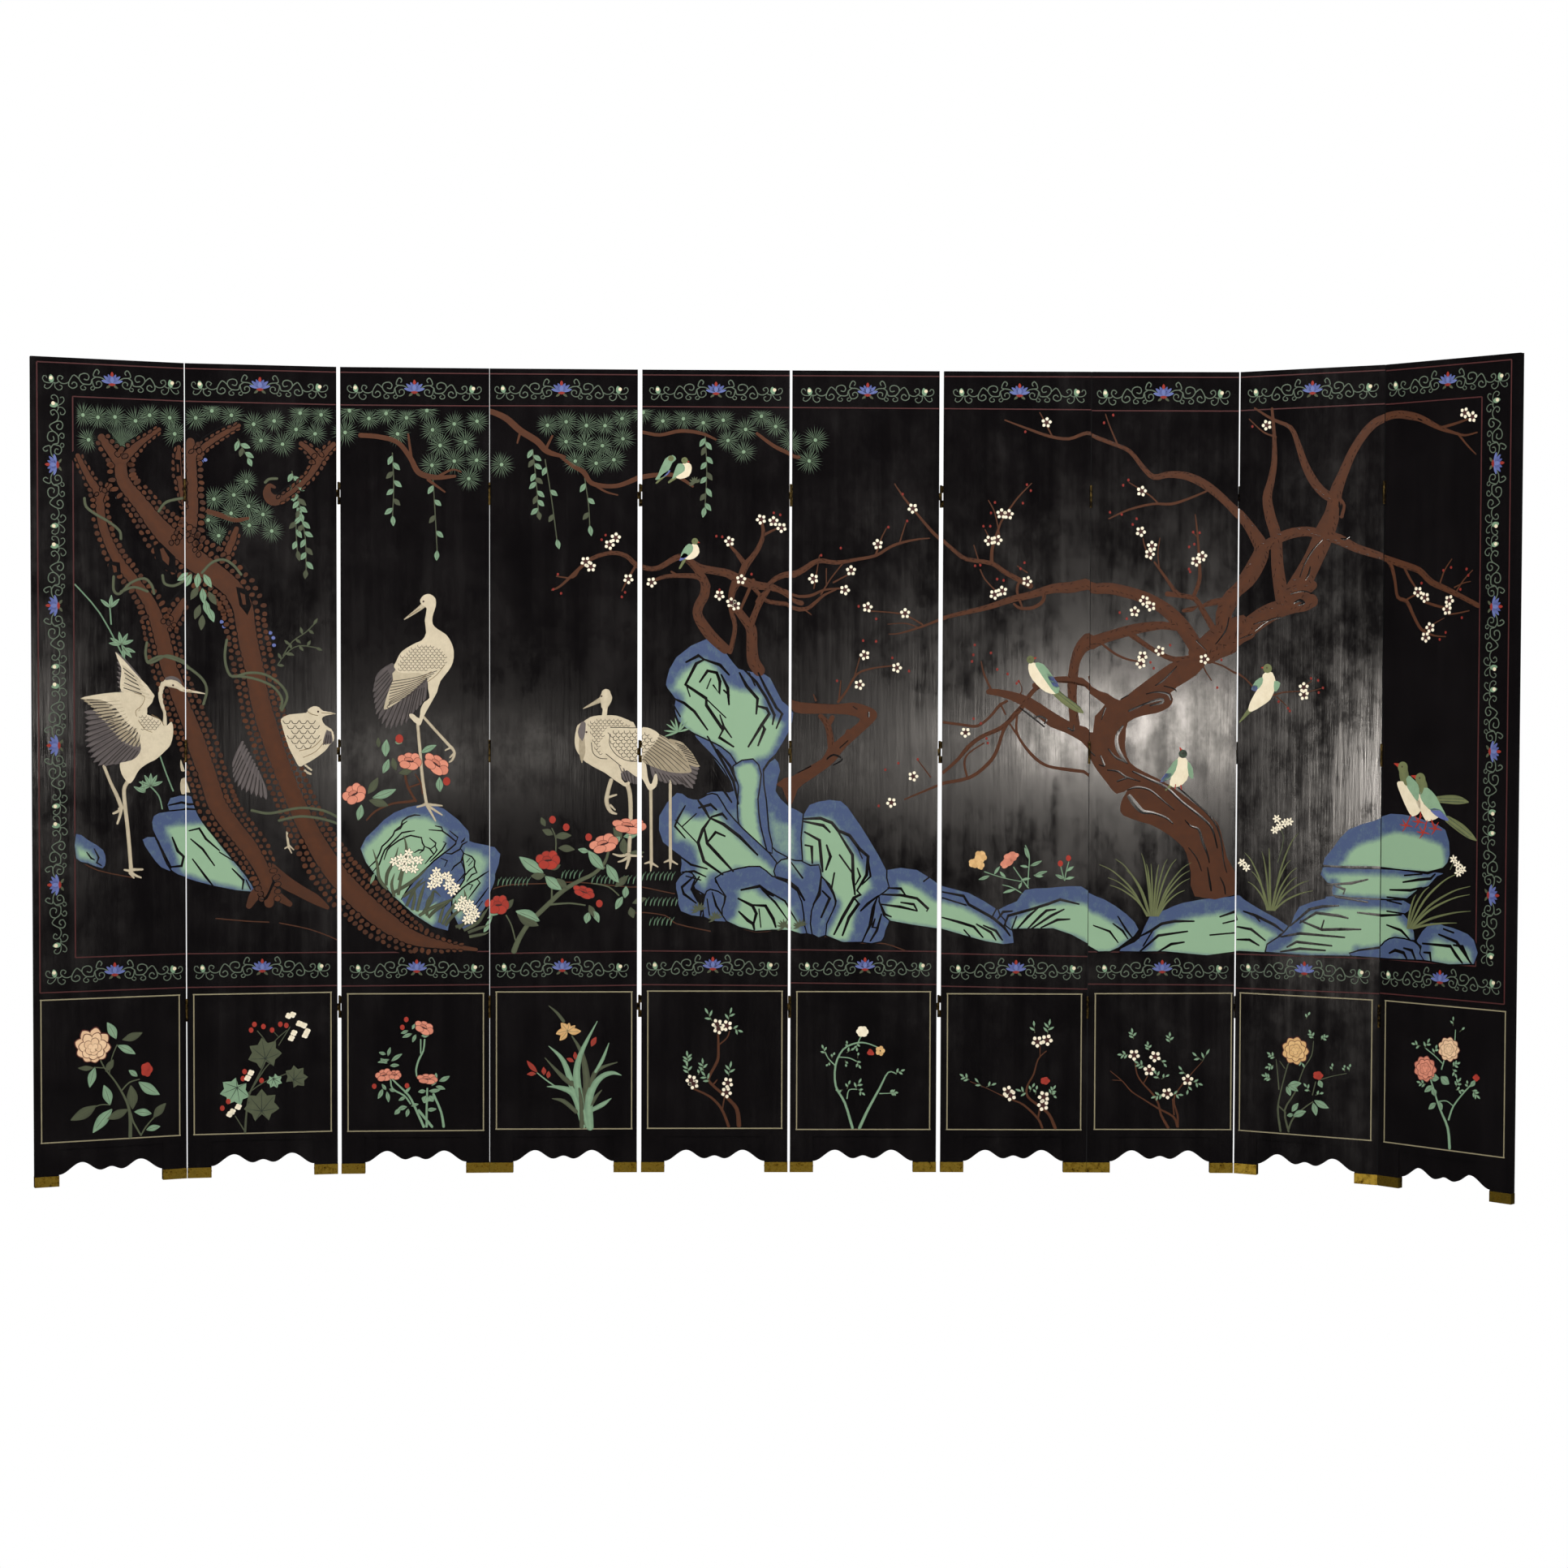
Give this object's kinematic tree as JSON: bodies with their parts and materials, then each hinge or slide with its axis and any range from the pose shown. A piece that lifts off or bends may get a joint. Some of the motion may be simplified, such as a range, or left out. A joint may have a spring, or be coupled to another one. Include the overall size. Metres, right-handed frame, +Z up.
{
  "type": "folding screen",
  "caption": "Tall folding room screen of black lacquered wooden panels on brass-shod legs, joined edge to edge by loose-pin hinges, standing in a shallow curve",
  "frame": {"origin": "middle of the standing screen's outline, on the floor under the shoes", "axes": "+X along the screen from panel 1 at the left end to panel 10 at the right, +Y from the viewer through the screen, +Z up"},
  "size_m": [4.3098, 0.5848, 2.438],
  "materials": {
    "black_lacquer": "satin black lacquer over wood",
    "shoe_brass": "worn bright brass",
    "aged_brass": "dull aged brass"
  },
  "bodies": {
    "panel_1": {"panel_1_frame": "black_lacquer", "panel_1_boards": "black_lacquer", "panel_1_apron": "black_lacquer", "panel_1_shoes": "shoe_brass", "panel_1_hinges": "aged_brass", "panel_1_fasteners": "aged_brass"},
    "panel_2": {"panel_2_frame": "black_lacquer", "panel_2_boards": "black_lacquer", "panel_2_apron": "black_lacquer", "panel_2_shoes": "shoe_brass", "panel_2_hinges": "aged_brass", "panel_2_fasteners": "aged_brass"},
    "panel_3": {"panel_3_frame": "black_lacquer", "panel_3_boards": "black_lacquer", "panel_3_apron": "black_lacquer", "panel_3_shoes": "shoe_brass", "panel_3_hinges": "aged_brass", "panel_3_fasteners": "aged_brass"},
    "panel_4": {"panel_4_frame": "black_lacquer", "panel_4_boards": "black_lacquer", "panel_4_apron": "black_lacquer", "panel_4_shoes": "shoe_brass", "panel_4_hinges": "aged_brass", "panel_4_fasteners": "aged_brass"},
    "panel_5": {"panel_5_frame": "black_lacquer", "panel_5_boards": "black_lacquer", "panel_5_apron": "black_lacquer", "panel_5_shoes": "shoe_brass", "panel_5_hinges": "aged_brass", "panel_5_fasteners": "aged_brass"},
    "panel_6": {"panel_6_frame": "black_lacquer", "panel_6_boards": "black_lacquer", "panel_6_apron": "black_lacquer", "panel_6_shoes": "shoe_brass", "panel_6_hinges": "aged_brass", "panel_6_fasteners": "aged_brass"},
    "panel_7": {"panel_7_frame": "black_lacquer", "panel_7_boards": "black_lacquer", "panel_7_apron": "black_lacquer", "panel_7_shoes": "shoe_brass", "panel_7_hinges": "aged_brass", "panel_7_fasteners": "aged_brass"},
    "panel_8": {"panel_8_frame": "black_lacquer", "panel_8_boards": "black_lacquer", "panel_8_apron": "black_lacquer", "panel_8_shoes": "shoe_brass", "panel_8_hinges": "aged_brass", "panel_8_fasteners": "aged_brass"},
    "panel_9": {"panel_9_frame": "black_lacquer", "panel_9_boards": "black_lacquer", "panel_9_apron": "black_lacquer", "panel_9_shoes": "shoe_brass", "panel_9_hinges": "aged_brass", "panel_9_fasteners": "aged_brass"},
    "panel_10": {"panel_10_frame": "black_lacquer", "panel_10_boards": "black_lacquer", "panel_10_apron": "black_lacquer", "panel_10_shoes": "shoe_brass", "panel_10_hinges": "aged_brass", "panel_10_fasteners": "aged_brass"}
  },
  "joints": [
    {"name": "hinge_1_2", "type": "hinge", "parent": "panel_2", "child": "panel_1", "pos_m": [-1.73085, 0.15762, 0], "axis": [0, 0, 1], "range_deg": [-13, 168]},
    {"name": "hinge_2_3", "type": "hinge", "parent": "panel_3", "child": "panel_2", "pos_m": [-1.28819, 0.26106, 0], "axis": [0, 0, -1], "range_deg": [-23, 187.5]},
    {"name": "hinge_3_4", "type": "hinge", "parent": "panel_4", "child": "panel_3", "pos_m": [-0.83363, 0.25588, 0], "axis": [0, 0, 1], "range_deg": [-2.5, 165.5]},
    {"name": "hinge_4_5", "type": "hinge", "parent": "panel_5", "child": "panel_4", "pos_m": [-0.38023, 0.2888, 0], "axis": [0, 0, -1], "range_deg": [-29.5, 181]},
    {"name": "hinge_5_6", "type": "hinge", "parent": "panel_5", "child": "panel_6", "pos_m": [0.07677, 0.2638, 0], "axis": [0, 0, -1], "range_deg": [-1, 155]},
    {"name": "hinge_6_7", "type": "hinge", "parent": "panel_6", "child": "panel_7", "pos_m": [0.53377, 0.2888, 0], "axis": [0, 0, 1], "range_deg": [-29.5, 180]},
    {"name": "hinge_7_8", "type": "hinge", "parent": "panel_7", "child": "panel_8", "pos_m": [0.98716, 0.25588, 0], "axis": [0, 0, -1], "range_deg": [-1.5, 151.5]},
    {"name": "hinge_8_9", "type": "hinge", "parent": "panel_8", "child": "panel_9", "pos_m": [1.44156, 0.26899, 0], "axis": [0, 0, 1], "range_deg": [-3, 207.5]},
    {"name": "hinge_9_10", "type": "hinge", "parent": "panel_9", "child": "panel_10", "pos_m": [1.82643, 0.02707, 0], "axis": [0, 0, -1], "range_deg": [-18, 163]}
  ]
}
